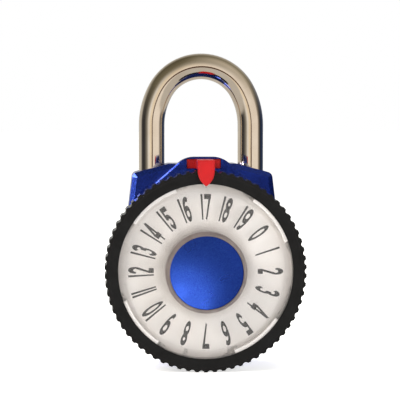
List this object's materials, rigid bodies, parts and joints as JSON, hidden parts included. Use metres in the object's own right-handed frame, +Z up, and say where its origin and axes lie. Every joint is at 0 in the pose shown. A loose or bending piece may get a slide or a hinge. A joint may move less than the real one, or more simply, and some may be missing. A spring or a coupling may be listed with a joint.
{
  "type": "combination padlock",
  "caption": "Dial combination padlock: drum case, knurled dial under a magnifying ring, gated wheels, pinion-turned fence and lifting shackle.",
  "frame": {"origin": "on the dial's axis at the flat back face of the case", "axes": "+Z up along the shackle's legs, -Y out of the front of the dial, +X to the right seen from the front"},
  "size_m": [0.054, 0.0344, 0.0858],
  "materials": {
    "case_blue": "glossy metallic blue over die-cast zinc",
    "shackle_steel": "polished nickel-chrome plate",
    "plated_steel": "zinc-plated steel",
    "wheel_brass": "stamped brass",
    "grip_black": "moulded black, fine matt",
    "dial_white": "moulded warm white",
    "lens_clear": "clear moulded acrylic, polished",
    "bezel_grey": "satin grey",
    "cap_blue": "blue anodised, fine satin grain",
    "pointer_red": "moulded red, semi-gloss"
  },
  "bodies": {
    "case": {"front_housing": "case_blue", "rear_cover": "plated_steel", "cover_rivets": "plated_steel", "mechanism_plate": "plated_steel", "plate_screws": "plated_steel", "shackle_retainer": "plated_steel", "retainer_screws": "plated_steel", "wheel_post": "plated_steel", "wheel_spacer": "wheel_brass", "post_clip": "plated_steel", "spindle_bush": "wheel_brass", "dial_spring_washer": "plated_steel", "indicator_pointer": "pointer_red", "pointer_screw": "plated_steel", "rotor_pin": "plated_steel"},
    "dial": {"grip_ring": "grip_black", "dial_hub": "grip_black", "hub_screws": "plated_steel", "number_disc": "dial_white", "magnifier_lens": "lens_clear", "bezel_ring": "bezel_grey", "centre_cap": "cap_blue", "spindle": "plated_steel", "drive_cam": "wheel_brass", "drive_pin": "plated_steel", "cam_clip": "plated_steel"},
    "middle_wheel": {"middle_wheel": "wheel_brass"},
    "rear_wheel": {"rear_wheel": "wheel_brass"},
    "shackle": {"shackle": "shackle_steel"},
    "fence": {"lock_rotor": "plated_steel", "rotor_pinion": "wheel_brass"}
  },
  "joints": [
    {"name": "dial_spin", "type": "hinge", "parent": "case", "child": "dial", "pos_m": [0, 0, 0], "axis": [0, 1, 0], "continuous": true},
    {"name": "middle_wheel_spin", "type": "hinge", "parent": "case", "child": "middle_wheel", "pos_m": [0, 0, 0], "axis": [0, 1, 0], "continuous": true},
    {"name": "rear_wheel_spin", "type": "hinge", "parent": "case", "child": "rear_wheel", "pos_m": [0, 0, 0], "axis": [0, 1, 0], "continuous": true},
    {"name": "shackle_lift", "type": "slide", "parent": "case", "child": "shackle", "axis": [0, 0, 1], "range_m": [0, 0.0095]},
    {"name": "fence_turn", "type": "hinge", "parent": "case", "child": "fence", "pos_m": [-0.00555, 0, 0.01817], "axis": [0, 1, 0], "range_deg": [0, 103.69]}
  ],
  "couplings": [
    {"joint": "middle_wheel_spin", "follows": "dial_spin", "ratio": 1},
    {"joint": "rear_wheel_spin", "follows": "dial_spin", "ratio": 1},
    {"joint": "fence_turn", "follows": "shackle_lift", "rad_per_m": 190.48}
  ]
}
